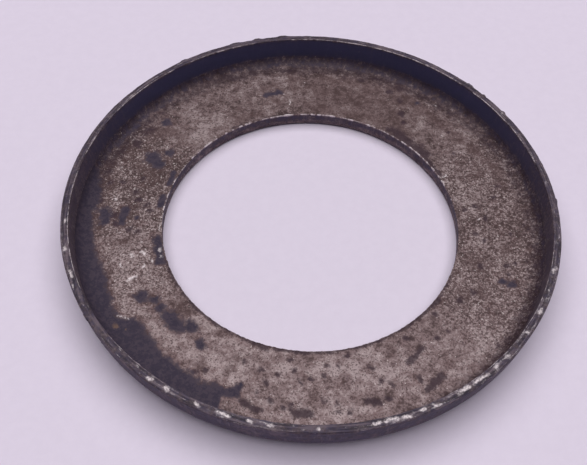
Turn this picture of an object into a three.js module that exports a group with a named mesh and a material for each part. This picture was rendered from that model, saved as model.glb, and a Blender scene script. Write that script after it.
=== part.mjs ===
// A cup washer: one disc of sheet steel, punched and drawn in a single pressing. A flat annular web
// with a large bore rests on the ground, and its outer edge is turned up into a short rim, so that
// the washer caps the face of a bearing and keeps dirt out and grease in. Drawing the rim through
// the die thins it to about half the thickness of the web.
//
// Millimetres, +Z up. The origin is on the axis, at the level of the flat underside.

import * as THREE from "three";

// Driving dimensions
const BORE_RADIUS = 15.0; // for a 30 mm shaft or stem
const OUTER_RADIUS = 24.5; // at the rim's outer top corner, the widest place
const WEB_THICKNESS = 1.6;
const RIM_THICKNESS = 0.76;
const RIM_HEIGHT = 4.85; // from the underside to the rim's inner top corner
const RIM_FLARE = THREE.MathUtils.degToRad(7); // how far the rim leans out of vertical
const INNER_BEND_RADIUS = 1.15; // on the dished side, between web and rim
const OUTER_BEND_RADIUS = 3.0; // on the underside
const BORE_ROLLOVER = 0.3; // the punch draws the sheet in round the bore's lower edge
const RIM_EDGE_BREAK = 0.14; // worn outer corner of the rim's cut edge

// Fineness of the mesh
const STEPS_ROUND = 120;
const STEPS_PER_BEND = 6;
const STEPS_PER_ROLLOVER = 3;

const steel = new THREE.MeshStandardMaterial({
  color: new THREE.Color().setRGB(0.46, 0.41, 0.41, THREE.SRGBColorSpace),
  roughness: 0.62,
  metalness: 0.85,
});

/** Points from angle `from` to angle `to` on a circle in the section plane, both ends included. */
function arc(centre, radius, from, to, steps) {
  const points = [];
  for (let i = 0; i <= steps; i++) {
    const angle = THREE.MathUtils.lerp(from, to, i / steps);
    const spoke = new THREE.Vector2(Math.cos(angle), Math.sin(angle)).multiplyScalar(radius);
    points.push(spoke.add(centre));
  }
  return points;
}

/** Centre of the bend that joins a flat at height `floor` to the leaning wall through `corner`. */
function bendCentre(corner, floor, radius) {
  const height = floor + radius;
  const lean = (corner.y - height) * Math.sin(RIM_FLARE);
  return new THREE.Vector2(corner.x - (radius + lean) / Math.cos(RIM_FLARE), height);
}

/** The sheet's section as a closed outline: x is the distance from the axis, y is the height. */
function sectionOutline() {
  const down = -Math.PI / 2;
  const upTheRim = new THREE.Vector2(Math.sin(RIM_FLARE), Math.cos(RIM_FLARE));
  const outOfTheRim = new THREE.Vector2(Math.cos(RIM_FLARE), -Math.sin(RIM_FLARE));

  // The rim's cut edge is square to its wall, so its outer corner is the lower one.
  const drop = RIM_THICKNESS * Math.sin(RIM_FLARE);
  const outerCorner = new THREE.Vector2(OUTER_RADIUS, RIM_HEIGHT - drop);
  const innerCorner = outerCorner.clone().addScaledVector(outOfTheRim, -RIM_THICKNESS);

  const outerCentre = bendCentre(outerCorner, 0, OUTER_BEND_RADIUS);
  const innerCentre = bendCentre(innerCorner, WEB_THICKNESS, INNER_BEND_RADIUS);
  const rollCentre = new THREE.Vector2(BORE_RADIUS + BORE_ROLLOVER, BORE_ROLLOVER);

  return [
    new THREE.Vector2(BORE_RADIUS, WEB_THICKNESS),
    ...arc(rollCentre, BORE_ROLLOVER, -Math.PI, down, STEPS_PER_ROLLOVER),
    ...arc(outerCentre, OUTER_BEND_RADIUS, down, -RIM_FLARE, STEPS_PER_BEND),
    outerCorner.clone().addScaledVector(upTheRim, -RIM_EDGE_BREAK),
    outerCorner.clone().addScaledVector(outOfTheRim, -RIM_EDGE_BREAK),
    innerCorner,
    ...arc(innerCentre, INNER_BEND_RADIUS, -RIM_FLARE, down, STEPS_PER_BEND),
  ];
}

/** The section turned once round the Z axis. */
function pressedSheet() {
  const outline = sectionOutline();
  outline.push(outline[0].clone());
  const geometry = new THREE.LatheGeometry(outline, STEPS_ROUND);
  return geometry.rotateX(Math.PI / 2);
}

const cupWasher = new THREE.Mesh(pressedSheet(), steel);
cupWasher.name = "cup_washer";

const washer = new THREE.Group();
washer.add(cupWasher);

export default washer;
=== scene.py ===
"""A pressed steel cup washer that has been in use, lying dish side up on a pale floor.

One closed mesh replaces the plain CAD solid. It is the same section turned round the axis, with the
traces of the press tools, of wear and of rust added to its shape and to its material, and some shade,
light and highlights painted into its colour.
"""

import math

import bpy
import numpy as np
from mathutils import Matrix, Vector, noise


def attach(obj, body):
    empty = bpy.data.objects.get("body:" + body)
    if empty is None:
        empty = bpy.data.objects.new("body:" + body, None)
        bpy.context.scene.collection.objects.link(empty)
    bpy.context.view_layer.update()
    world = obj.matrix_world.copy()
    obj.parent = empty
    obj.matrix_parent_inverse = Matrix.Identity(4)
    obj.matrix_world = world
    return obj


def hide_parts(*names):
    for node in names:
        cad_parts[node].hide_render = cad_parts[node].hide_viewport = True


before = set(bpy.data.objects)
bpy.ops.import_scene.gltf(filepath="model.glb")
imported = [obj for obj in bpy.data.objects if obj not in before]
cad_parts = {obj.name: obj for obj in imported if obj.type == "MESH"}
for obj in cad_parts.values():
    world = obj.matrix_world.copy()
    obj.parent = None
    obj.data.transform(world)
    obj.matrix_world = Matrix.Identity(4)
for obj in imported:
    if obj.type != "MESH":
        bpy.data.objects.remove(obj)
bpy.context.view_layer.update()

MM = 0.001  # the sizes below are in millimetres, and Blender's are in metres
UP = np.array([0.0, 1.0])  # in the section plane: x is the distance from the axis, y the height

# The washer's section, as in the CAD model
BORE_RADIUS = 15.0
OUTER_RADIUS = 24.5
WEB_THICKNESS = 1.6
RIM_THICKNESS = 0.76
RIM_HEIGHT = 4.85
RIM_FLARE = math.radians(7)
INNER_BEND_RADIUS = 1.15
OUTER_BEND_RADIUS = 3.0
BORE_ROLLOVER = 0.3
OUTER_EDGE_BREAK = 0.14
INNER_EDGE_BREAK = 0.05
BORE_EDGE_BREAK = 0.06

STEPS_ROUND = 700

# How far the relief and the burrs stand out or sink in
WAVINESS = 0.012
SKIN_TEXTURE = 0.006
CRUST_HEIGHT = 0.02
CRUST_TEXTURE = 0.018
SCRATCH_DEPTH = 0.02
DRAW_MARK_DEPTH = 0.008
FRACTURE_DEPTH = 0.02
FRACTURE_TEXTURE = 0.03
TORN_EDGE_TEXTURE = 0.02
WORN_EDGE_DEPTH = 0.05
LIP_HEIGHT = 0.03
LIP_TEXTURE = 0.05
RIM_BURR_HEIGHT = 0.11
RIM_UNEVENNESS = 0.03  # slow changes of the rim's height and radius
RIM_SINK = 0.02  # the rim is this much smaller than the CAD's, to leave room for its burrs

FRACTURE_START = 0.7  # height in the bore above which the punched wall is torn
EDGE_RUB_SIZE = 0.24

# The camera looks at AIM from the -Y side, and is turned a little about its own line of sight.
AIM = (-1.675, -0.313, 0.0)
CAMERA_DISTANCE = 92.5
CAMERA_ELEVATION = math.radians(53.37)
CAMERA_ROLL = math.radians(2.21)
LENS = 55.2
SENSOR_WIDTH = 36.0
CLIP_START = 5.0

# The studio, in metres: paper that is flat to FLOOR_REACH and then curves up, under two lamps
FLOOR_REACH = 1.3
WALL_BEND = 0.3
WALL_HEIGHT = 0.42
LAMP_HEIGHT = 2.2

FLOOR_STEPS = 64
SURROUND_STRENGTH = 0.02

# Shores on the web. A shore is a row of places (azimuth in degrees, radius); azimuth 0 is +X, 90 is +Y
# and 270 is nearest the camera. Grime and the rim's dark skin start at their shores and go outwards.
NO_SHORE = 99.0  # a radius past the whole sheet, where there is no grime
GRIME_SHORE = [
    (164, 23.8), (168, 22.5), (172, 21.7), (180, 21.9), (184, 21.7), (190, 21.5), (199, 21.0), (208, 21.2),
    (215, 21.3), (218, 20.1), (223, 20.1), (232, 20.4), (240, 20.5), (243, 20.7), (246, 20.2),
    (248.6, 20.1), (250.2, 22.6), (252, 24.5),
]
# The skin's shore also sets where the painted shade at the foot of the rim begins.
SKIN_SHORE = [
    (0, 22.7), (15, 22.7), (30, 22.7), (60, 22.2), (90, 22.1), (105, 22.3), (120, 22.7), (135, 22.3),
    (150, 22.0), (160, 22.4), (168, 22.6), (180, 22.8), (210, 22.6), (250, 23.0), (258, 24.5), (285, 24.0),
    (300, 23.3), (320, 23.1), (335, 22.9), (360, 22.7),
]

# Marks on the web, each listed one by one. A spot is (azimuth, radius, size) and a streak is (place, place,
# size).
DARK_SPOTS = [
    (211.6, 18.6, 0.85), (214.4, 17.7, 0.5), (218, 17.7, 0.6), (236.2, 17.75, 0.7), (181, 17.5, 0.35),
    (141.5, 20.7, 0.65), (150.7, 17.4, 0.65), (56, 21.0, 0.4), (341, 20.9, 0.5), (341, 20.0, 0.45),
    (229.5, 16.9, 0.8),
]
DARK_STREAKS = [
    ((222, 17.7), (227, 17.6), 0.85), ((179.5, 20.9), (182.5, 20.8), 0.7), ((178, 18.9), (183, 19.0), 0.5),
    ((191, 15.5), (201.5, 15.6), 0.5), ((171, 15.5), (175, 15.5), 0.45), ((159, 15.5), (164, 15.5), 0.4),
    ((155.3, 18.8), (157.4, 17.7), 0.85), ((102, 18.6), (107, 18.5), 0.45), ((196, 22.4), (202, 21.6), 0.8),
    ((252.4, 19.6), (252.2, 20.6), 0.4), ((248.3, 20.8), (251.2, 20.5), 0.55),
]
STAIN_SPOTS = [
    (75, 21.5, 0.4), (38, 22.3, 0.4), (41, 19.7, 0.3), (33, 18.3, 0.3), (12, 19.4, 0.35), (16, 20.3, 0.3),
    (9, 17.2, 0.3), (8, 16.0, 0.3), (4, 18.0, 0.4), (347, 20.0, 0.35), (348, 20.6, 0.3), (344, 20.3, 0.3),
    (357.5, 16.7, 0.35), (358, 20.2, 0.3), (354.5, 17.5, 0.3), (300.3, 20.1, 0.35), (304.5, 16.1, 0.4),
    (312.5, 17.8, 0.35), (317, 18.0, 0.35), (318.5, 16.0, 0.35), (322, 22.3, 0.35), (242, 19.6, 0.4),
    (240, 20.1, 0.35), (251, 17.3, 0.35), (261, 20.4, 0.35), (264.7, 20.9, 0.35), (266.3, 20.4, 0.3),
    (257, 20.0, 0.3), (258.7, 18.7, 0.35), (256.5, 17.7, 0.3), (261.3, 17.7, 0.3), (266.2, 17.1, 0.3),
    (264.3, 16.1, 0.3), (268.7, 18.2, 0.3), (271.5, 17.8, 0.3), (275, 17.6, 0.3), (274.3, 20.0, 0.35),
    (278, 20.2, 0.3), (278, 21.0, 0.3), (280.5, 21.2, 0.35), (290.5, 20.7, 0.4), (289.5, 17.5, 0.35),
    (293, 19.7, 0.35), (291, 19.0, 0.3), (280, 16.4, 0.3), (276, 16.5, 0.3), (283.5, 15.8, 0.35),
    (65.5, 21.0, 0.5), (98, 22.0, 0.5), (187, 17.4, 0.4), (176, 17.0, 0.5), (180.5, 20.1, 0.5),
    (184, 19.5, 0.45), (181.5, 18.9, 0.4), (61, 20.2, 0.45), (57.5, 18.6, 0.5), (54.5, 17.4, 0.45),
    (63, 22.0, 0.5), (147, 21.3, 0.7), (153, 21.1, 0.6), (165.5, 22.1, 0.5), (169, 21.3, 0.4),
    (172.5, 22.2, 0.6), (176, 21.6, 0.45), (168, 20.2, 0.35), (165, 18.2, 0.35), (171, 18.3, 0.4),
    (174, 17.9, 0.35), (178, 16.4, 0.4), (186, 18.2, 0.4), (329, 17.1, 0.45), (333.5, 17.5, 0.4),
    (344.5, 17.5, 0.4),
]
STAIN_STREAKS = [
    ((114, 22.3), (117, 22.8), 0.5), ((39, 15.5), (56, 15.7), 0.8), ((27, 15.2), (37, 15.2), 0.35),
    ((300.5, 21.4), (306, 20.9), 0.45), ((301, 18.3), (306, 17.7), 0.32), ((321, 15.3), (325, 15.3), 0.35),
    ((254, 21.1), (259, 21.5), 0.4), ((267, 21.2), (271, 21.2), 0.45), ((285, 20.6), (288, 20.8), 0.4),
    ((250, 15.1), (256, 15.2), 0.35), ((260, 15.1), (262, 15.1), 0.3),
]
RUST_SPOTS = [
    (163, 22.3, 1.2), (170, 21.8, 1.5), (156, 21.4, 1.1), (176, 21.9, 1.2), (222, 16.3, 0.9),
    (225, 16.2, 0.6), (239, 15.6, 0.5), (107, 17.0, 0.5), (113, 17.8, 0.5), (118, 17.5, 0.5),
    (25.5, 19.5, 0.45), (339, 15.6, 0.5), (272, 19.5, 0.5), (298, 16.3, 0.5), (331.5, 17.1, 1.0),
    (345, 17.2, 1.3), (248, 18.6, 0.6), (191, 18.8, 0.8), (184, 21.4, 1.2), (178, 21.0, 0.9),
    (17, 20.6, 0.9), (22, 18.9, 0.9), (119, 16.2, 0.8), (335, 18.2, 1.0), (248, 17.3, 0.6),
    (352, 19.8, 0.9), (96, 20.6, 1.1), (120, 16.0, 1.1), (184, 21.8, 1.2), (144, 17.6, 0.9),
    (240, 19.3, 0.7),
]
RUST_STREAKS = [
    ((64.5, 22.8), (62, 21), 1.3), ((62, 21), (58, 18.3), 1.2), ((58, 18.3), (52, 16.3), 1.3),
    ((102, 19.9), (107, 19.8), 0.6), ((112, 15.9), (116, 16.0), 0.5), ((53, 17.9), (54, 20.2), 1.0),
    ((62, 19.0), (88, 18.6), 2.2), ((58, 20.9), (88, 20.8), 1.2), ((60, 16.4), (92, 16.6), 1.4),
    ((160, 19.2), (164, 17.2), 1.2), ((96, 18.8), (97, 20.8), 1.1), ((104, 17.4), (105, 19.4), 0.9),
    ((143, 19.0), (147, 20.6), 1.2), ((20, 21.4), (60, 21.3), 0.9), ((54, 16.0), (66, 16.4), 1.1),
    ((66, 21.0), (80, 20.4), 1.7), ((64, 19.2), (74, 19.2), 1.2),
]
ORANGE_SPOTS = [(216.2, 22.2, 0.42), (218, 21.7, 0.25)]
SCRATCHES = [
    ((204.0, 18.3), (204.8, 19.3), 0.21), ((195.2, 17.3), (197.0, 16.9), 0.18),
    ((195.6, 18.3), (197.0, 17.9), 0.18), ((199.2, 16.7), (200.8, 16.3), 0.18),
    ((213.8, 21.4), (216.4, 20.9), 0.17), ((98.4, 17.6), (100.2, 16.0), 0.12),
    ((184.5, 15.3), (187, 15.2), 0.15), ((25.3, 15.1), (25.6, 15.8), 0.14),
    ((3.2, 17.0), (3.9, 17.3), 0.16), ((200.6, 17.2), (201.6, 17.5), 0.15),
    ((198.4, 19.4), (199.3, 19.2), 0.15),
]
RUBBED_SPOTS = [
    (100.5, 18.3, 0.18), (93, 20.1, 0.17), (93, 19.6, 0.17), (51, 22.0, 0.18), (8.5, 16.6, 0.18),
    (23, 15.1, 0.18), (149.5, 18.2, 0.2), (163, 21.1, 0.19), (169.5, 16.2, 0.22), (197, 18.1, 0.2),
    (199, 15.4, 0.28), (204, 15.8, 0.2), (196.2, 15.4, 0.28), (342, 17.0, 0.15), (356, 15.6, 0.15),
    (174.5, 20.3, 0.25), (176, 19.7, 0.2), (208, 17.3, 0.16), (191, 17.2, 0.16), (186.5, 19.2, 0.18),
]
PALE_STREAKS = [
    ((156.5, 19.7), (158.5, 19.2), 0.5), ((172.5, 20.2), (176.5, 19.9), 0.7),
    ((174, 16.6), (179, 16.8), 0.9), ((195, 19.2), (212, 19.2), 1.7), ((199, 17.5), (210, 17.0), 1.3),
    ((206, 20.3), (215, 20.2), 1.0), ((213, 16.3), (217, 16.5), 0.9), ((214, 19.4), (226, 19.3), 1.2),
    ((226, 19.3), (250, 18.6), 1.3), ((229, 16.2), (252, 16.2), 1.0), ((262, 21.8), (290, 21.8), 0.9),
    ((262, 17.0), (284, 17.3), 0.9), ((285, 19.1), (306, 18.6), 0.9), ((308, 21.2), (324, 21.4), 1.1),
    ((350, 16.8), (355, 17.0), 1.2), ((10, 16.3), (28, 16.2), 1.1), ((32, 17.6), (34, 19.0), 0.9),
    ((38, 19.0), (42, 19.2), 1.0), ((126, 17.0), (139, 16.8), 1.0), ((133, 18.3), (134, 20.6), 0.9),
    ((72, 16.6), (82, 16.6), 0.8), ((214, 22.0), (217, 22.0), 0.5),
]

# Marks on the rim: (azimuth, half length), in degrees
EDGE_RUBS = [
    (188.3, 0.2), (196.3, 0.4), (203.5, 0.7), (236, 0.4), (240, 0.5), (247.5, 0.5), (253, 1.1),
    (258.8, 0.4), (263, 0.4), (272.5, 0.3), (284, 0.8), (287.5, 1.2), (290.5, 0.5), (294, 0.5),
    (297.5, 0.5), (304, 1.4), (308.5, 1.8), (313, 0.5), (317, 0.4), (324.5, 0.2), (331, 0.6), (342.5, 0.5),
]
RIM_BURRS = [
    (45.2, 1.2), (40.5, 0.6), (33, 0.7), (3.2, 0.9), (215.2, 1.6), (99, 1.6), (106, 1.3), (112, 1.8),
    (127, 1.2),
]

# Stretches of azimuth: (from, to, strength), in degrees. One that goes past azimuth 0 is given twice.
WORN_EDGES = [(15, 60, 0.3), (130, 168, 0.35), (184, 206, 0.35), (234, 268, 0.35), (280, 352, 0.45)]
BRIGHT_CORNERS = [
    (15, 43, 1), (47, 97, 1), (107, 126, 1), (131, 152, 1), (160, 168, 1), (173, 208, 1), (222, 234, 0.8),
    (300, 352, 0.8),
]
# painted highlight: the bore's lip is made pale at the back, where the burr catches the back lamp
BORE_LIP_PAINTED_HIGHLIGHT = [(20, 185, 1)]
# Dark line on the bore's edge: painted shade on the near side, grime at the back
DARK_BORE_SIDE = [(96, 128, 0.8), (196, 338, 1)]
STRONG_GRAIN = [(-40, 32, 0.7), (148, 188, 1.2), (188, 216, 0.65), (320, 400, 0.7)]


def line(start, end, steps):
    """Points from start towards end, with end left for the next stretch."""
    share = np.arange(steps)[:, None] / steps
    return np.asarray(start) + (np.asarray(end) - np.asarray(start)) * share


def arc(centre, radius, start, end, steps):
    """Points on a circle from angle start towards angle end, with the last left out."""
    angle = start + (end - start) * np.arange(steps) / steps
    return np.asarray(centre) + radius * np.stack([np.cos(angle), np.sin(angle)], axis=1)


def bend_centre(corner, floor, radius):
    """Centre of the bend that joins a flat at height floor to the leaning wall through corner."""
    height = floor + radius
    lean = (corner[1] - height) * math.sin(RIM_FLARE)
    return np.array([corner[0] - (radius + lean) / math.cos(RIM_FLARE), height])


def section():
    """The closed outline of the sheet, and the name of the stretch that each point lies on."""
    down = -math.pi / 2
    lean = -RIM_FLARE
    up_rim = np.array([math.sin(RIM_FLARE), math.cos(RIM_FLARE)])
    out_rim = np.array([math.cos(RIM_FLARE), -math.sin(RIM_FLARE)])
    outer_corner = np.array([OUTER_RADIUS, RIM_HEIGHT - RIM_THICKNESS * math.sin(RIM_FLARE)])
    inner_corner = outer_corner - out_rim * RIM_THICKNESS
    outer_centre = bend_centre(outer_corner, 0.0, OUTER_BEND_RADIUS)
    inner_centre = bend_centre(inner_corner, WEB_THICKNESS, INNER_BEND_RADIUS)
    wall_foot = inner_centre + out_rim * INNER_BEND_RADIUS
    outer_foot = outer_centre + out_rim * OUTER_BEND_RADIUS
    inner_break = inner_corner + (out_rim - up_rim) * INNER_EDGE_BREAK
    outer_break = outer_corner - (out_rim + up_rim) * OUTER_EDGE_BREAK
    bore_break = np.array([BORE_RADIUS + BORE_EDGE_BREAK, WEB_THICKNESS - BORE_EDGE_BREAK])
    roll_centre = np.array([BORE_RADIUS + BORE_ROLLOVER, BORE_ROLLOVER])
    web_start = bore_break + UP * BORE_EDGE_BREAK
    edge_top = inner_break + up_rim * INNER_EDGE_BREAK
    stretches = [
        ("bore_edge", arc(bore_break, BORE_EDGE_BREAK, math.pi, math.pi / 2, 3)),
        ("web", line(web_start, inner_centre - UP * INNER_BEND_RADIUS, 38)),
        ("bend", arc(inner_centre, INNER_BEND_RADIUS, down, lean, 12)),
        ("wall", line(wall_foot, inner_break - out_rim * INNER_EDGE_BREAK, 13)),
        ("corner", arc(inner_break, INNER_EDGE_BREAK, math.pi + lean, math.pi / 2 + lean, 3)),
        ("cut_edge", line(edge_top, outer_break + up_rim * OUTER_EDGE_BREAK, 5)),
        ("outer_corner", arc(outer_break, OUTER_EDGE_BREAK, math.pi / 2 + lean, lean, 4)),
        ("outer_wall", line(outer_break + out_rim * OUTER_EDGE_BREAK, outer_foot, 12)),
        ("outer_bend", arc(outer_centre, OUTER_BEND_RADIUS, lean, down, 14)),
        ("underside", line(outer_centre - UP * OUTER_BEND_RADIUS, roll_centre - UP * BORE_ROLLOVER, 13)),
        ("rollover", arc(roll_centre, BORE_ROLLOVER, down, -math.pi, 5)),
        ("bore_wall", line((BORE_RADIUS, BORE_ROLLOVER), (BORE_RADIUS, bore_break[1]), 12)),
    ]
    names = np.concatenate([[name] * len(points) for name, points in stretches])
    return np.concatenate([points for _, points in stretches]), names


def outward(outline):
    """Unit normals of the outline, pointing out of the metal."""
    along = np.roll(outline, -1, axis=0) - np.roll(outline, 1, axis=0)
    normal = np.stack([-along[:, 1], along[:, 0]], axis=1)
    return normal / np.linalg.norm(normal, axis=1, keepdims=True)


def blurred(values, times):
    """Values along the closed outline, eased into their neighbours."""
    for _ in range(times):
        values = (np.roll(values, 1) + 2 * values + np.roll(values, -1)) / 4
    return values


def grain(points, per_mm, seed, octaves=1):
    """Smooth noise of about -1 to 1 at each point, with features about 1 / per_mm apart."""
    shift = Vector((seed * 13.7, seed * -7.3, seed * 3.1))
    flat = points.reshape(-1, 3)
    values = [noise.fractal(Vector(p) * per_mm + shift, 0.7, 2.0, octaves) for p in flat]
    return np.array(values).reshape(points.shape[:-1])


def ring_grain(azimuth, per_turn, seed, octaves=2):
    """Noise that depends only on the azimuth and closes on itself."""
    radius = per_turn / (2 * math.pi)
    around = np.stack([np.cos(azimuth) * radius, np.sin(azimuth) * radius, azimuth * 0], axis=-1)
    return grain(around, 1.0, seed, octaves)


def stepped(value, low, high):
    """0 below low and 1 above high, eased between."""
    share = np.clip((value - low) / (high - low), 0, 1)
    return share * share * (3 - 2 * share)


def place(azimuth, radius):
    """A place on the web as x and y."""
    angle = math.radians(azimuth)
    return np.array([math.cos(angle), math.sin(angle)]) * radius


def mark_field(plan, spots=(), streaks=()):
    """For each x, y of plan, 1 at the middle of the nearest mark, 0 at its edge, -1 well away."""
    ends = [(place(a, r), place(a, r), size) for a, r, size in spots]
    ends += [(place(*start), place(*end), size) for start, end, size in streaks]
    field = np.full(plan.shape[:-1], -1.0)
    for start, end, size in ends:
        along = end - start
        length = max(float(along @ along), 1e-9)
        share = np.clip(((plan - start) @ along) / length, 0, 1)
        away = np.linalg.norm(plan - start - share[..., None] * along, axis=-1)
        field = np.maximum(field, 1 - away / size)
    return field


def stretch_field(azimuth, stretches, ease=0.8):
    """The strength of each stretch of azimuth within it, and 0 outside them all."""
    degrees = np.degrees(azimuth)
    field = np.zeros_like(degrees)
    for start, end, strength in stretches:
        inside = stepped(degrees, start - ease, start + ease) * stepped(-degrees, -end - ease, -end + ease)
        field = np.maximum(field, strength * inside)
    return field


class Sheet:
    """The turned section as a grid: first index round the axis, second along the outline."""

    def __init__(self):
        self.outline, self.names = section()
        self.azimuth = np.arange(STEPS_ROUND)[:, None] * (2 * math.pi / STEPS_ROUND)
        self.azimuth = self.azimuth * np.ones(len(self.outline))
        self.radius = np.ones_like(self.azimuth) * self.outline[:, 0]
        self.height = np.ones_like(self.azimuth) * self.outline[:, 1]
        self.base = self.points(self.radius, self.height)
        self.plan = self.base[..., :2]
        self.uneven = grain(self.base, 0.9, seed=3, octaves=3)

    def points(self, radius, height):
        """The x, y and z of a radius and a height at each place of the grid."""
        x = radius * np.cos(self.azimuth)
        y = radius * np.sin(self.azimuth)
        return np.stack([x, y, height], axis=-1)

    def on(self, *names, ease=1):
        """1 on the named stretches of the outline and 0 elsewhere."""
        return blurred(np.isin(self.names, names).astype(float), ease)

    def wandering_plan(self):
        """The plan with each place moved a little by noise, so that marks get natural outlines."""
        shifts = []
        for seed in (20, 24):
            slow = 0.26 * grain(self.base, 0.9, seed)
            quick = 0.2 * grain(self.base, 2.2, seed + 1)
            shifts.append(slow + quick)
        return self.plan + np.stack(shifts, axis=-1)


def grime_shore(sheet, reach):
    """Grime against the rim: above 0 between the shore and the rim, growing outwards."""
    shore = np.interp(np.degrees(sheet.azimuth), *zip(*GRIME_SHORE), left=NO_SHORE, right=NO_SHORE)
    return np.clip((reach - shore) / 0.9, -1, 1)


def bore_edge_grime_and_shade(sheet, reach):
    """A dark line along the bore's edge: painted shade below the burr lip on the near side, and grime at
    the back.
    """
    side = stretch_field(sheet.azimuth, DARK_BORE_SIDE, ease=3)
    away = stepped(reach - 0.2 * sheet.uneven, BORE_RADIUS + 0.1, BORE_RADIUS + 0.5)
    return side * 1.6 - 1 - away


def web_marks(sheet, plan, reach, skin_shore):
    """Grime, stains, rust and worn places by where they lie in the plan, whatever the height, with painted
    shade at the rim's foot.
    """
    # painted shade: the web is made darker towards the foot of the rim, from a little inside the skin's
    # shore
    painted_foot_shade = np.clip((reach - skin_shore + 0.7) / 1.8, -1, 0.27)
    stain_and_shade = np.maximum(painted_foot_shade, bore_edge_grime_and_shade(sheet, reach))
    return {
        "grime": np.maximum(mark_field(plan, DARK_SPOTS, DARK_STREAKS), grime_shore(sheet, reach)),
        "stain_and_shade": np.maximum(mark_field(plan, STAIN_SPOTS, STAIN_STREAKS), stain_and_shade),
        "rust": mark_field(plan, RUST_SPOTS, RUST_STREAKS) + 0.3 * sheet.uneven,
        "orange": mark_field(plan, ORANGE_SPOTS),
        "rub_and_highlight": mark_field(plan, RUBBED_SPOTS, SCRATCHES),
        "pale": mark_field(plan, streaks=PALE_STREAKS),
    }


def edge_rubs(sheet, plan):
    """Bare bright metal on the rim's cut edge."""
    middle = OUTER_RADIUS - RIM_THICKNESS * 0.55
    streaks = [((a - half, middle), (a + half, middle), EDGE_RUB_SIZE) for a, half in EDGE_RUBS]
    blobs = mark_field(plan * 0.7 + sheet.plan * 0.3, streaks=streaks)
    speckled = 1.5 * ring_grain(sheet.azimuth + sheet.radius * 1.3, 130, seed=15) - 0.65
    speckled = speckled + 0.3 * ring_grain(sheet.azimuth, 420, seed=5)
    speckled = speckled + stretch_field(sheet.azimuth, WORN_EDGES, ease=3)
    edge = np.maximum(blobs, np.clip(speckled, -1, 0.3))
    return np.where(sheet.on("cut_edge", "outer_corner", ease=0) > 0, edge, -1)


def lip_rubs_and_highlight(sheet):
    """Bare bright metal on the inner corner of the rim, and pale rubbed metal on the bore's lip at the back
    as a painted highlight.
    """
    rim_lip = stretch_field(sheet.azimuth, BRIGHT_CORNERS) * 1.1 - 0.5
    rim_lip = rim_lip + 0.7 * ring_grain(sheet.azimuth, 420, seed=5)
    rim_lip = np.where(sheet.on("corner") > 0.4, rim_lip, -1)
    # painted highlight on the bore's lip at the back, together with rubbed metal
    bore_lip = stretch_field(sheet.azimuth, BORE_LIP_PAINTED_HIGHLIGHT) - 0.45
    bore_lip = bore_lip + 1.3 * ring_grain(sheet.azimuth, 260, seed=8) + 0.6 * (sheet.on("bore_edge") - 1)
    bore_lip = np.where(sheet.on("bore_edge") > 0.2, bore_lip, -1)
    return np.maximum(rim_lip, bore_lip)


def drawn_lines(sheet):
    """Lines that run along the rim's edge, left by the press."""
    ring_radius = 9
    across = np.arange(len(sheet.outline)) * 0.9
    x = np.cos(sheet.azimuth) * ring_radius
    y = np.sin(sheet.azimuth) * ring_radius
    places = np.stack([x, y, sheet.azimuth * 0 + across], axis=-1)
    edge = sheet.on("cut_edge", "outer_corner", "corner")
    return grain(places, 1.0, seed=16, octaves=3) * np.maximum(edge, 0.3 * sheet.on("outer_wall"))


def wall_skin(sheet):
    """The dark skin of oxide and old grease on the upright faces and the underside, heavier at the dish
    wall's back as painted shade.
    """
    outside = sheet.on("outer_wall", "outer_bend", "underside", "rollover")
    bore = (0.45 + 0.27 * stepped(sheet.height, 0.6, 1.0)) * sheet.on("bore_wall")
    edge = 0.74 * sheet.on("cut_edge", "outer_corner", "corner")
    # painted shade: more dark skin on the back of the dish's wall than at its sides
    dish_wall_with_back_shade = sheet.on("wall") * (0.72 + 0.28 * stepped(np.sin(sheet.azimuth), 0.0, 0.6))
    return np.maximum(np.maximum(outside, bore), np.maximum(edge, dish_wall_with_back_shade))


def side_wall_painted_light(sheet):
    """Painted light: the dish's wall is made paler at its sides, less at the back and most towards -X."""
    not_back = 1 - stepped(np.sin(sheet.azimuth), 0.1, 1.1)
    return not_back * (0.8 - 0.2 * np.cos(sheet.azimuth)) * sheet.on("wall", ease=3)


def back_wall_painted_shade(sheet):
    """Painted shade: the back of the dish's wall, which faces away from the back lamp, is made dark blue.
    """
    return stepped(np.sin(sheet.azimuth), -0.3, 0.75) * sheet.on("wall", ease=6)


def marks(sheet):
    """What lies on each place of the sheet, and where shade and light are painted, as fields for the
    material and the relief.
    """
    plan = sheet.wandering_plan()
    reach = sheet.radius + 0.35 * sheet.uneven
    skin_shore = np.interp(np.degrees(sheet.azimuth), *zip(*SKIN_SHORE))
    web_skin = 0.56 * stepped(reach, skin_shore, skin_shore + 0.8)
    top = sheet.on("web", "bend", ease=0) > 0
    found = web_marks(sheet, plan, reach, skin_shore)
    fields = {name: np.where(top, field, -1.0) for name, field in found.items()}
    fields["rub_and_highlight"] = np.maximum(fields["rub_and_highlight"], np.maximum(edge_rubs(sheet, plan), lip_rubs_and_highlight(sheet)))
    fields["skin"] = np.where(top, web_skin, wall_skin(sheet))
    fields["painted_back_shade"] = back_wall_painted_shade(sheet)
    fields["painted_side_light"] = side_wall_painted_light(sheet)
    fields["strong"] = stretch_field(sheet.azimuth, STRONG_GRAIN, ease=8)
    fields["drawn"] = drawn_lines(sheet)
    return fields


def rim_burrs(sheet):
    """Small burrs left on the rim's outer corner, in millimetres."""
    degrees = np.degrees(sheet.azimuth)
    height = np.zeros_like(degrees)
    for middle, half in RIM_BURRS:
        height = np.maximum(height, RIM_BURR_HEIGHT * stepped(-abs(degrees - middle), -half, -0.5 * half))
    return height * sheet.on("outer_corner", ease=2)


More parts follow.
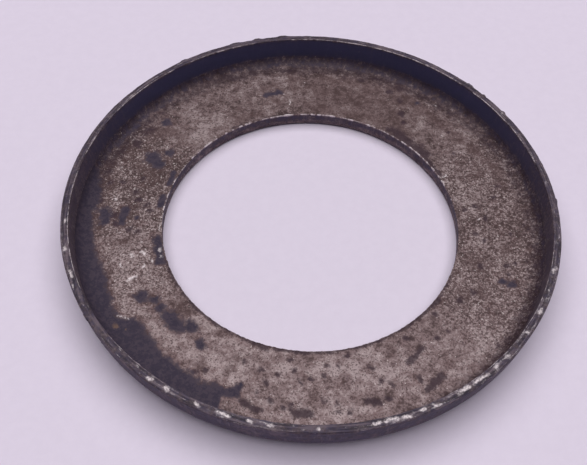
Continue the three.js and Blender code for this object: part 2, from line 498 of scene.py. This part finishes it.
def surface_relief(sheet, fields):
    """The sheet's waves, its skin, the crust of grime and stains, and scratches, in millimetres."""
    waves = WAVINESS * grain(sheet.base, 0.16, seed=1, octaves=3)
    skin = SKIN_TEXTURE * grain(sheet.base, 2.4, seed=2, octaves=2)
    crust = stepped(fields["grime"], -0.2, 0.5) + 0.5 * stepped(fields["stain_and_shade"], -0.2, 0.6)
    crust = crust * (CRUST_HEIGHT + CRUST_TEXTURE * grain(sheet.base, 2.6, seed=4, octaves=2))
    scratch = stepped(mark_field(sheet.plan, streaks=SCRATCHES), -0.4, 0.6) * sheet.on("web")
    return waves + skin + crust - SCRATCH_DEPTH * scratch


def edge_relief(sheet, fields):
    """Draw marks, torn and worn metal, and burrs on the rim and in the bore, in millimetres."""
    draw_marks = DRAW_MARK_DEPTH * ring_grain(sheet.azimuth, 620, seed=6)
    draw_marks = draw_marks * sheet.on("outer_wall", "wall", ease=3)
    torn_bore = sheet.on("bore_wall") * stepped(sheet.height, FRACTURE_START, FRACTURE_START + 0.3)
    fracture = torn_bore * (FRACTURE_TEXTURE * grain(sheet.base, 5.0, seed=7, octaves=2) - FRACTURE_DEPTH)
    torn = TORN_EDGE_TEXTURE * grain(sheet.base, 2.8, seed=9, octaves=2)
    torn = torn * sheet.on("cut_edge", "outer_corner", "corner")
    worn = -WORN_EDGE_DEPTH * stepped(fields["rub_and_highlight"], -0.2, 0.6) * sheet.on("outer_corner", "cut_edge")
    lip = LIP_HEIGHT + LIP_TEXTURE * np.clip(ring_grain(sheet.azimuth, 240, seed=10), -0.4, 1)
    lip = lip * (0.7 * sheet.on("corner") + sheet.on("bore_edge"))
    return draw_marks + fracture + torn + worn + lip + rim_burrs(sheet)


def washer_points(sheet, fields):
    """The finished surface: the turned section with its relief and a slightly uneven rim."""
    normal = outward(sheet.outline)
    depth = surface_relief(sheet, fields) + edge_relief(sheet, fields)
    up_the_rim = stepped(sheet.height, WEB_THICKNESS, RIM_HEIGHT)
    rim_height = RIM_UNEVENNESS * ring_grain(sheet.azimuth, 9, seed=11)
    rim_height = rim_height + RIM_UNEVENNESS / 2 * ring_grain(sheet.azimuth, 60, seed=12) - RIM_SINK
    rim_radius = RIM_UNEVENNESS * ring_grain(sheet.azimuth, 7, seed=13)
    rim_radius = rim_radius + RIM_UNEVENNESS / 1.5 * ring_grain(sheet.azimuth, 70, seed=14) - RIM_SINK
    radius = sheet.radius + normal[:, 0] * depth + up_the_rim * rim_radius
    height = sheet.height + normal[:, 1] * depth + up_the_rim * rim_height
    return sheet.points(radius, np.maximum(height, 0))


def grid_faces(rows, columns):
    """Quads of a grid that closes on itself both ways."""
    row, column = np.meshgrid(np.arange(rows), np.arange(columns), indexing="ij")
    next_row = (row + 1) % rows
    next_column = (column + 1) % columns
    corners = [(row, column), (row, next_column), (next_row, next_column), (next_row, column)]
    return np.stack([r * columns + c for r, c in corners], axis=-1).reshape(-1, 4)


def mesh_object(name, points, faces, material):
    """A smooth-shaded mesh in the scene."""
    mesh = bpy.data.meshes.new(name)
    mesh.from_pydata(points, [], faces)
    mesh.polygons.foreach_set("use_smooth", [True] * len(mesh.polygons))
    mesh.materials.append(material)
    item = bpy.data.objects.new(name, mesh)
    bpy.context.collection.objects.link(item)
    return item


def washer():
    """The cup washer as one mesh, with its fields as attributes."""
    sheet = Sheet()
    fields = marks(sheet)
    points = washer_points(sheet, fields).reshape(-1, 3) * MM
    faces = grid_faces(*sheet.azimuth.shape).tolist()
    item = mesh_object("pressed_sheet", points.tolist(), faces, steel_material())
    for name, values in fields.items():
        attribute = item.data.attributes.new(name, "FLOAT", "POINT")
        attribute.data.foreach_set("value", values.astype(np.float32).ravel())
    return item


class Nodes:
    """Short forms for building a node material."""

    def __init__(self, name):
        self.material = bpy.data.materials.new(name)
        self.material.use_nodes = True
        self.tree = self.material.node_tree
        self.shader = self.tree.nodes["Principled BSDF"]

    def add(self, kind, inputs, **settings):
        """A node with its settings and inputs."""
        node = self.tree.nodes.new(kind)
        for name, value in settings.items():
            setattr(node, name, value)
        for name, value in inputs.items():
            self.put(node.inputs[name], value)
        return node

    def put(self, socket, value):
        """Links an output to the socket, or sets a plain value on it."""
        if isinstance(value, bpy.types.NodeSocket):
            self.tree.links.new(value, socket)
        else:
            socket.default_value = value

    def object_place(self):
        """The place on the object, in metres."""
        return self.add("ShaderNodeTexCoord", {}).outputs["Object"]

    def math(self, operation, *values):
        """One step of arithmetic."""
        node = self.add("ShaderNodeMath", dict(enumerate(values)), operation=operation)
        return node.outputs[0]

    def vector(self, operation, values):
        """One step of vector arithmetic."""
        return self.add("ShaderNodeVectorMath", values, operation=operation).outputs[0]

    def attribute(self, name):
        """One of the mesh's fields."""
        node = self.add("ShaderNodeAttribute", {}, attribute_name=name)
        return node.outputs["Fac"]

    def noise(self, at, scale, detail=2.0, rough=0.5, distortion=0.0):
        """Noise of 0 to 1 that is 0.5 on average."""
        values = {
            "Vector": at,
            "Scale": scale,
            "Detail": detail,
            "Roughness": rough,
            "Distortion": distortion,
        }
        return self.add("ShaderNodeTexNoise", values).outputs["Fac"]

    def ease(self, value, low, high, to_low=0.0, to_high=1.0):
        """Maps low to high onto to_low to to_high, eased at both ends."""
        values = {"Value": value, "From Min": low, "From Max": high, "To Min": to_low, "To Max": to_high}
        node = self.add("ShaderNodeMapRange", values, interpolation_type="SMOOTHSTEP")
        return node.outputs["Result"]

    def mix(self, share, first, second):
        """A colour mix. Inputs 6 and 7 and output 2 are the node's colour sockets."""
        node = self.tree.nodes.new("ShaderNodeMix")
        node.data_type = "RGBA"
        self.put(node.inputs[0], share)
        self.put(node.inputs[6], first)
        self.put(node.inputs[7], second)
        return node.outputs[2]


BARE_DARK = (0.066, 0.040, 0.041, 1)
BARE_MID = (0.194, 0.134, 0.138, 1)
BARE_PALE = (0.34, 0.265, 0.27, 1)
FLECK = (0.58, 0.51, 0.51, 1)
STAIN_AND_SHADE = (0.040, 0.017, 0.029, 1)
RUST_BROWN = (0.110, 0.055, 0.056, 1)
RUST_ORANGE = (0.155, 0.092, 0.075, 1)
GRIME_DARK = (0.036, 0.025, 0.048, 1)
GRIME_BROWN = (0.058, 0.040, 0.063, 1)
PAINTED_SHADE_BLUE = (0.048, 0.045, 0.109, 1)
SKIN_PURPLE = (0.058, 0.044, 0.080, 1)
SKIN_BROWN = (0.066, 0.042, 0.059, 1)
SKIN_DARK = (0.022, 0.015, 0.028, 1)
SKIN_SCUFF_AND_SIDE_LIGHT = (0.16, 0.12, 0.15, 1)
RUBBED_AND_HIGHLIGHT = (0.68, 0.60, 0.62, 1)
PAPER_DARK = (0.792, 0.707, 0.842, 1)
PAPER_PALE = (0.812, 0.727, 0.862, 1)

# How rough the steel is where it is smoothest, and what its grain and its dullness add
SMOOTHEST = 0.42
GRAIN_ROUGHNESS = 0.25
DULL_ROUGHNESS = 0.28
BUMP_HEIGHT = 0.03  # of the grain, in millimetres


def steel_noises(n):
    """The noise patterns that the steel's colours are made from. Their scales are per millimetre."""
    at = n.vector("SCALE", {0: n.object_place(), "Scale": 1 / MM})
    upright = n.vector("MULTIPLY", {0: at, 1: (1.0, 1.0, 0.16)})
    noises = {
        "fine": n.noise(at, 3.8, detail=2.0, rough=0.6, distortion=0.5),
        "blotchy": n.noise(at, 1.3, detail=3.0, rough=0.6),
        "broad": n.noise(at, 0.35, detail=3.0, rough=0.6),
        "ragged": n.noise(at, 2.1, detail=4.0, rough=0.7),
        "specks": n.noise(at, 6.5, detail=1.0, rough=0.5),
        "patches": n.noise(at, 0.6, detail=4.0, rough=0.7),
        "streaky": n.noise(upright, 2.6, detail=4.0, rough=0.65),
    }
    noises["wobble"] = n.math("SUBTRACT", noises["ragged"], 0.5)
    return noises


def steel_covers(n, noises):
    """How far each kind of mark covers the steel, from 0 to 1, with ragged outlines."""

    def cover(name, spread, low, high):
        field = n.math("MULTIPLY_ADD", noises["wobble"], spread, n.attribute(name))
        return n.ease(field, low, high)

    covers = {
        "grime": cover("grime", 1.9, -0.3, 0.55),
        "stain_and_shade": cover("stain_and_shade", 2.4, -0.3, 0.7),
        "rust": cover("rust", 2.6, -0.3, 1.0),
        "halo": cover("grime", 2.4, -0.9, 0.3),
        "orange": cover("orange", 1.6, 0.1, 0.9),
        "rub_and_highlight": cover("rub_and_highlight", 2.2, 0.0, 0.9),
        "pale": cover("pale", 2.0, -0.4, 1.0),
        "skin": cover("skin", 1.3, 0.1, 0.9),
    }
    covers["rub_and_highlight"] = n.math("MULTIPLY", covers["rub_and_highlight"], n.ease(noises["specks"], 0.25, 0.6, 0.3, 0.95))
    return covers


def steel_tone(n, noises, covers):
    """How light the steel's grain is, around 0."""
    contrast = n.ease(n.attribute("strong"), 0.0, 1.0, 0.85, 2.3)
    tone = n.math("MULTIPLY", n.math("SUBTRACT", noises["fine"], 0.5), contrast)
    tone = n.math("MULTIPLY_ADD", n.math("SUBTRACT", noises["blotchy"], 0.5), 1.2, tone)
    tone = n.math("ADD", n.math("SUBTRACT", noises["broad"], 0.5), tone)
    tone = n.math("MULTIPLY_ADD", covers["pale"], 0.22, tone)
    return n.math("MULTIPLY_ADD", covers["rust"], -0.10, tone)


def bare_colour(n, noises, covers, tone):
    """Rubbed steel with pits and flecks, browned by rust and darkened by stains and painted shade."""
    strong = n.attribute("strong")
    colour = n.mix(n.ease(tone, -0.30, 0.02), BARE_DARK, BARE_MID)
    colour = n.mix(n.ease(tone, 0.0, 0.34), colour, BARE_PALE)
    pits = n.ease(n.math("MULTIPLY_ADD", strong, -0.085, noises["specks"]), 0.43, 0.36)
    colour = n.mix(n.math("MULTIPLY", pits, 0.75), colour, BARE_DARK)
    flecks = n.ease(n.math("MULTIPLY_ADD", strong, 0.05, noises["specks"]), 0.72, 0.79)
    colour = n.mix(flecks, colour, FLECK)
    patches = n.ease(noises["patches"], 0.52, 0.68, 0.0, 0.6)
    brown = n.math("MAXIMUM", patches, n.math("MAXIMUM", covers["rust"], covers["halo"]))
    colour = n.mix(n.math("MULTIPLY", brown, 0.45), colour, RUST_BROWN)
    # stains, and painted shade at the rim's foot and along the bore's edge
    return n.mix(n.math("MULTIPLY", covers["stain_and_shade"], 0.82), colour, STAIN_AND_SHADE)


def skin_colour(n, noises, tone):
    """Dark purple, brown or bluish skin with scuffs and press lines, painted shade at the wall's back,
    painted light at its sides.
    """
    painted_back_shade = n.attribute("painted_back_shade")
    drawn = n.attribute("drawn")
    colour = n.mix(n.ease(noises["blotchy"], 0.42, 0.66), SKIN_PURPLE, SKIN_BROWN)
    colour = n.mix(n.ease(noises["ragged"], 0.52, 0.34, 0.0, 0.75), colour, SKIN_DARK)
    # painted shade: dark blue on the back of the dish's wall, which faces away from the back lamp
    colour = n.mix(painted_back_shade, colour, PAINTED_SHADE_BLUE)
    streaks = n.ease(noises["streaky"], 0.52, 0.70, 0.0, 0.5)
    scuffs_and_side_light = n.math("ADD", streaks, n.ease(tone, 0.05, 0.4, 0.0, 0.45))
    # painted light: the sides of the dish's wall are made paler
    scuffs_and_side_light = n.math("MULTIPLY_ADD", n.attribute("painted_side_light"), 0.42, scuffs_and_side_light)
    colour = n.mix(n.math("MULTIPLY", scuffs_and_side_light, n.math("SUBTRACT", 1.1, painted_back_shade)), colour, SKIN_SCUFF_AND_SIDE_LIGHT)
    colour = n.mix(n.ease(drawn, 0.0, 0.5, 0.0, 0.75), colour, SKIN_SCUFF_AND_SIDE_LIGHT)
    return n.mix(n.ease(drawn, -0.02, -0.4, 0.0, 0.8), colour, SKIN_DARK)


def steel_colour(n, noises, covers):
    """Bare steel under skin, grime, rust and rubbed places, with some painted shade, light and highlights
    among them.
    """
    tone = steel_tone(n, noises, covers)
    grime = n.mix(n.ease(noises["ragged"], 0.44, 0.58), GRIME_DARK, GRIME_BROWN)
    colour = n.mix(covers["skin"], bare_colour(n, noises, covers, tone), skin_colour(n, noises, tone))
    colour = n.mix(covers["grime"], colour, grime)
    colour = n.mix(covers["orange"], colour, RUST_ORANGE)
    return n.mix(covers["rub_and_highlight"], colour, RUBBED_AND_HIGHLIGHT)


def steel_material():
    """Rubbed, rusted and grimy steel, with some shade, light and highlights painted into its colour."""
    n = Nodes("worn_steel_with_painted_light")
    noises = steel_noises(n)
    covers = steel_covers(n, noises)
    n.put(n.shader.inputs["Base Color"], steel_colour(n, noises, covers))

    dull = n.math("MULTIPLY", n.math("MAXIMUM", covers["rust"], covers["stain_and_shade"]), 0.6)
    dull = n.math("MAXIMUM", covers["grime"], dull)
    dull = n.math("MAXIMUM", dull, n.math("MULTIPLY", n.attribute("skin"), 0.8))
    dull = n.math("MULTIPLY", dull, n.math("SUBTRACT", 1.0, covers["rub_and_highlight"]))
    rough = n.math("MULTIPLY_ADD", noises["fine"], GRAIN_ROUGHNESS, SMOOTHEST)
    height = n.math("MULTIPLY_ADD", noises["ragged"], 0.6, noises["fine"])
    bump = n.add("ShaderNodeBump", {"Strength": 1.0, "Distance": BUMP_HEIGHT * MM, "Height": height})
    n.put(n.shader.inputs["Metallic"], n.ease(dull, 0.0, 1.0, 0.7, 0.1))
    n.put(n.shader.inputs["Roughness"], n.math("MULTIPLY_ADD", dull, DULL_ROUGHNESS, rough))
    n.put(n.shader.inputs["Normal"], bump.outputs["Normal"])
    return n.material


def paper_material():
    """Matt lavender paper with a very faint mottling."""
    n = Nodes("paper")
    mottling = n.noise(n.object_place(), 0.9 / MM, detail=4.0, rough=0.7)
    n.put(n.shader.inputs["Base Color"], n.mix(n.ease(mottling, 0.3, 0.7), PAPER_DARK, PAPER_PALE))
    n.shader.inputs["Roughness"].default_value = 0.9
    n.shader.inputs["Specular IOR Level"].default_value = 0.1
    return n.material


def floor():
    """Paper under the washer, which curves up into a low wall all round, far away."""
    bend = arc((FLOOR_REACH, WALL_BEND), WALL_BEND, -math.pi / 2, 0, 12)
    outline = [(0.0, 0.0), *bend.tolist(), (FLOOR_REACH + WALL_BEND, WALL_HEIGHT)]
    turns = np.arange(FLOOR_STEPS) * (2 * math.pi / FLOOR_STEPS)
    points = [(r * math.cos(turn), r * math.sin(turn), z) for turn in turns for r, z in outline]
    last = len(outline) - 1
    faces = grid_faces(FLOOR_STEPS, len(outline)).tolist()
    open_faces = [face for face in faces if face[0] % len(outline) != last]
    mesh_object("floor", points, open_faces, paper_material())


def overhead_light(name, size, at, watts):
    """A broad soft white light that faces straight down."""
    lamp = bpy.data.lights.new(name, "AREA")
    lamp.shape = "RECTANGLE"
    lamp.size, lamp.size_y = size
    lamp.energy = watts
    item = bpy.data.objects.new(name, lamp)
    item.location = at
    bpy.context.collection.objects.link(item)


def lights():
    """Two broad lights overhead, the one at the back stronger, and a faint surround."""
    overhead_light("sky_back", (3.2, 1.6), (0, 0.88, LAMP_HEIGHT), 40)
    overhead_light("sky_front", (3.2, 1.2), (0, -0.56, LAMP_HEIGHT), 25.5)
    world = bpy.data.worlds.new("surround")
    world.use_nodes = True
    background = world.node_tree.nodes["Background"]
    background.inputs["Color"].default_value = (0.86, 0.86, 1.0, 1)
    background.inputs["Strength"].default_value = SURROUND_STRENGTH
    bpy.context.scene.world = world


def camera():
    """The view from the front and above."""
    tilt = Matrix.Rotation(math.pi / 2 - CAMERA_ELEVATION, 4, "X") @ Matrix.Rotation(CAMERA_ROLL, 4, "Z")
    back = tilt.to_3x3() @ Vector((0, 0, 1))
    lens = bpy.data.cameras.new("camera")
    lens.lens = LENS
    lens.sensor_width = SENSOR_WIDTH
    lens.clip_start = CLIP_START * MM
    item = bpy.data.objects.new("camera", lens)
    item.matrix_world = Matrix.Translation((Vector(AIM) + back * CAMERA_DISTANCE) * MM) @ tilt
    bpy.context.collection.objects.link(item)
    bpy.context.scene.camera = item
    bpy.context.scene.view_settings.view_transform = "Standard"


camera()
lights()
floor()
piece = washer()
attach(piece, "root")
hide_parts("cup_washer")
